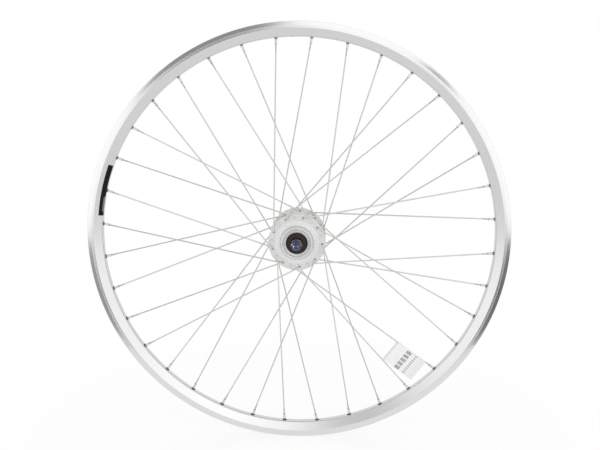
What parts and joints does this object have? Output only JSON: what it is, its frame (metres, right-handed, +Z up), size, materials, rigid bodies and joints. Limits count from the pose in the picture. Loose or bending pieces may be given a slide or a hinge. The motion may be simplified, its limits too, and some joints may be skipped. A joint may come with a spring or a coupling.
{
  "type": "bicycle wheel",
  "caption": "Bare rim-brake bicycle wheel: hooked double-wall alloy rim, crossed J-bend spokes and a large-flange hub that turns on a hollow axle.",
  "frame": {"origin": "centre of the wheel, on the spin axis, midway between the flanges", "axes": "+Y along the spin axis, away from the capped side; +Z up; +X to the right seen from the capped side"},
  "size_m": [0.6339, 0.116, 0.634],
  "materials": {
    "rim_alloy": "satin anodised, turned bright on the brake track",
    "hub_alloy": "satin",
    "spoke_steel": "drawn stainless wire",
    "nipple_plating": "nickel plated",
    "bearing_steel": "turned and plated",
    "seal_rubber": "matt black",
    "cap_plastic": "moulded, glossy",
    "decal_film": "printed film",
    "tag_paper": "coated paper"
  },
  "bodies": {
    "axle_set": {"axle": "bearing_steel", "cone_left": "bearing_steel", "cone_right": "bearing_steel", "locknut_left": "bearing_steel", "locknut_right": "bearing_steel"},
    "wheel": {"rim": "rim_alloy", "nipples": "nipple_plating", "spoke_01": "spoke_steel", "spoke_02": "spoke_steel", "spoke_03": "spoke_steel", "spoke_04": "spoke_steel", "spoke_05": "spoke_steel", "spoke_06": "spoke_steel", "spoke_07": "spoke_steel", "spoke_08": "spoke_steel", "spoke_09": "spoke_steel", "spoke_10": "spoke_steel", "spoke_11": "spoke_steel", "spoke_12": "spoke_steel", "spoke_13": "spoke_steel", "spoke_14": "spoke_steel", "spoke_15": "spoke_steel", "spoke_16": "spoke_steel", "spoke_17": "spoke_steel", "spoke_18": "spoke_steel", "spoke_19": "spoke_steel", "spoke_20": "spoke_steel", "spoke_21": "spoke_steel", "spoke_22": "spoke_steel", "spoke_23": "spoke_steel", "spoke_24": "spoke_steel", "spoke_25": "spoke_steel", "spoke_26": "spoke_steel", "spoke_27": "spoke_steel", "spoke_28": "spoke_steel", "spoke_29": "spoke_steel", "spoke_30": "spoke_steel", "spoke_31": "spoke_steel", "spoke_32": "spoke_steel", "spoke_33": "spoke_steel", "spoke_34": "spoke_steel", "spoke_35": "spoke_steel", "spoke_36": "spoke_steel", "hub_shell": "hub_alloy", "bearing_balls_left": "bearing_steel", "bearing_balls_right": "bearing_steel", "dust_seal_left": "seal_rubber", "dust_seal_right": "seal_rubber", "rim_decal": "decal_film", "paper_tag": "tag_paper"},
    "cap": {"axle_cap": "cap_plastic"}
  },
  "joints": [
    {"name": "wheel_spin", "type": "hinge", "parent": "axle_set", "child": "wheel", "pos_m": [0, 0, 0], "axis": [0, 1, 0], "continuous": true},
    {"name": "cap_pull", "type": "slide", "parent": "axle_set", "child": "cap", "axis": [0, -1, 0], "range_m": [0, 0.02]}
  ]
}
